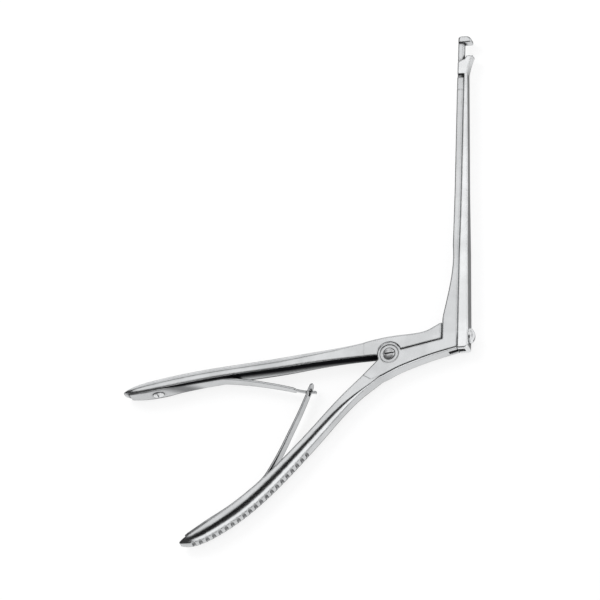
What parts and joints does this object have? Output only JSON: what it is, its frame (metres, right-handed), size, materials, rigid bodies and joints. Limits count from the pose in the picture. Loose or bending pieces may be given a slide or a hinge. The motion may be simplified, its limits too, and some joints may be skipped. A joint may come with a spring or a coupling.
{
  "type": "bone punch",
  "caption": "Hand-held bone punch: squeezing two sprung handles slides a cutting head up a long shaft to a fixed hook.",
  "frame": {"origin": "on the pivot axis, at the far flat side of the lap joint", "axes": "+Y along the shaft to the hook, +Z along the pivot axis towards the pivot screw's head, +X from the fixed half of the shaft to the slide"},
  "size_m": [0.1479, 0.2168, 0.0091],
  "materials": {
    "body_steel": "satin stainless steel, brushed along the plates and shaft",
    "spring_steel": "satin spring steel",
    "screw_steel": "turned stainless steel, polished heads"
  },
  "bodies": {
    "frame": {"frame": "body_steel", "rear_spring_foot": "spring_steel", "rear_spring_screw": "screw_steel"},
    "lever": {"lever": "body_steel", "pivot_screw": "screw_steel", "front_spring_foot": "spring_steel", "front_spring_screw": "screw_steel"},
    "slide": {"slide": "body_steel", "coupling_screw": "screw_steel"},
    "front_leaf": {"front_spring_leaf": "spring_steel"},
    "rear_leaf": {"rear_spring_leaf": "spring_steel"}
  },
  "joints": [
    {"name": "lever_hinge", "type": "hinge", "parent": "frame", "child": "lever", "pos_m": [0, 0, 0.00325], "axis": [0, 0, 1], "range_deg": [0, 11.58], "stiffness_Nm_per_rad": 2, "springref_deg": -8.59},
    {"name": "slide_travel", "type": "slide", "parent": "frame", "child": "slide", "axis": [0, 1, 0], "range_m": [0, 0.00596]},
    {"name": "front_leaf_flex", "type": "hinge", "parent": "lever", "child": "front_leaf", "pos_m": [-0.06896, -0.00521, 0.00325], "axis": [0, 0, 1], "range_deg": [0, 8.6]},
    {"name": "rear_leaf_flex", "type": "hinge", "parent": "frame", "child": "rear_leaf", "pos_m": [-0.05228, -0.05105, 0.00325], "axis": [0, 0, 1], "range_deg": [-4.1, 0]}
  ],
  "couplings": [
    {"joint": "slide_travel", "follows": "lever_hinge", "m_per_rad": 0.02945},
    {"joint": "front_leaf_flex", "follows": "lever_hinge", "ratio": 0.73402},
    {"joint": "rear_leaf_flex", "follows": "lever_hinge", "ratio": -0.34542}
  ]
}
